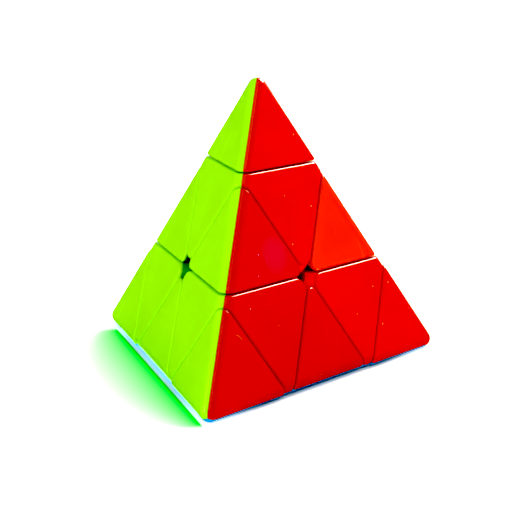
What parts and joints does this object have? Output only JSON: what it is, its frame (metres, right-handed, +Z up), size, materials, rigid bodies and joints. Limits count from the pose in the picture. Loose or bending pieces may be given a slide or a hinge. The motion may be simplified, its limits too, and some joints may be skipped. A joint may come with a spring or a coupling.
{
  "type": "pyramid twisty puzzle",
  "caption": "Stickerless pyramid twisty puzzle: a tetrahedron of coloured pieces with turning tips and a turning top layer on a sprung four-arm core.",
  "frame": {"origin": "centre of the core, where the four turning axes meet", "axes": "+Z up along the top vertex's axis, -Y towards the front vertex, between the red and green faces"},
  "size_m": [0.098, 0.0855, 0.0809],
  "materials": {
    "red_plastic": "moulded gloss",
    "green_plastic": "moulded gloss",
    "yellow_plastic": "moulded gloss",
    "blue_plastic": "moulded gloss",
    "white_plastic": "moulded satin",
    "steel": "zinc plated",
    "spring_steel": "drawn wire"
  },
  "bodies": {
    "root": {"core": "white_plastic", "top_screw": "steel", "top_washer": "steel", "top_spring": "spring_steel", "front_screw": "steel", "front_washer": "steel", "front_spring": "spring_steel", "right_screw": "steel", "right_washer": "steel", "right_spring": "spring_steel", "left_screw": "steel", "left_washer": "steel", "left_spring": "spring_steel", "front_axial_blue_shell": "blue_plastic", "front_axial_green_shell": "green_plastic", "front_axial_red_shell": "red_plastic", "front_axial_hub": "white_plastic", "right_axial_blue_shell": "blue_plastic", "right_axial_yellow_shell": "yellow_plastic", "right_axial_red_shell": "red_plastic", "right_axial_hub": "white_plastic", "left_axial_blue_shell": "blue_plastic", "left_axial_yellow_shell": "yellow_plastic", "left_axial_green_shell": "green_plastic", "left_axial_hub": "white_plastic", "front_right_edge_blue_half": "blue_plastic", "front_right_edge_red_half": "red_plastic", "front_left_edge_blue_half": "blue_plastic", "front_left_edge_green_half": "green_plastic", "right_left_edge_blue_half": "blue_plastic", "right_left_edge_yellow_half": "yellow_plastic"},
    "top_layer": {"top_axial_yellow_shell": "yellow_plastic", "top_axial_green_shell": "green_plastic", "top_axial_red_shell": "red_plastic", "top_axial_hub": "white_plastic", "top_front_edge_green_half": "green_plastic", "top_front_edge_red_half": "red_plastic", "top_right_edge_yellow_half": "yellow_plastic", "top_right_edge_red_half": "red_plastic", "top_left_edge_yellow_half": "yellow_plastic", "top_left_edge_green_half": "green_plastic"},
    "top_tip": {"top_tip_yellow_shell": "yellow_plastic", "top_tip_green_shell": "green_plastic", "top_tip_red_shell": "red_plastic", "top_tip_stem": "white_plastic"},
    "front_tip": {"front_tip_blue_shell": "blue_plastic", "front_tip_green_shell": "green_plastic", "front_tip_red_shell": "red_plastic", "front_tip_stem": "white_plastic"},
    "right_tip": {"right_tip_blue_shell": "blue_plastic", "right_tip_yellow_shell": "yellow_plastic", "right_tip_red_shell": "red_plastic", "right_tip_stem": "white_plastic"},
    "left_tip": {"left_tip_blue_shell": "blue_plastic", "left_tip_yellow_shell": "yellow_plastic", "left_tip_green_shell": "green_plastic", "left_tip_stem": "white_plastic"}
  },
  "joints": [
    {"name": "top_layer_turn", "type": "hinge", "parent": "root", "child": "top_layer", "pos_m": [0, 0, 0], "axis": [0, 0, 1], "continuous": true},
    {"name": "top_tip_turn", "type": "hinge", "parent": "top_layer", "child": "top_tip", "pos_m": [0, 0, 0], "axis": [0, 0, 1], "continuous": true},
    {"name": "front_tip_turn", "type": "hinge", "parent": "root", "child": "front_tip", "pos_m": [0, 0, 0], "axis": [0, -0.9428, -0.3333], "continuous": true},
    {"name": "right_tip_turn", "type": "hinge", "parent": "root", "child": "right_tip", "pos_m": [0, 0, 0], "axis": [0.8165, 0.4714, -0.3333], "continuous": true},
    {"name": "left_tip_turn", "type": "hinge", "parent": "root", "child": "left_tip", "pos_m": [0, 0, 0], "axis": [-0.8165, 0.4714, -0.3333], "continuous": true}
  ]
}
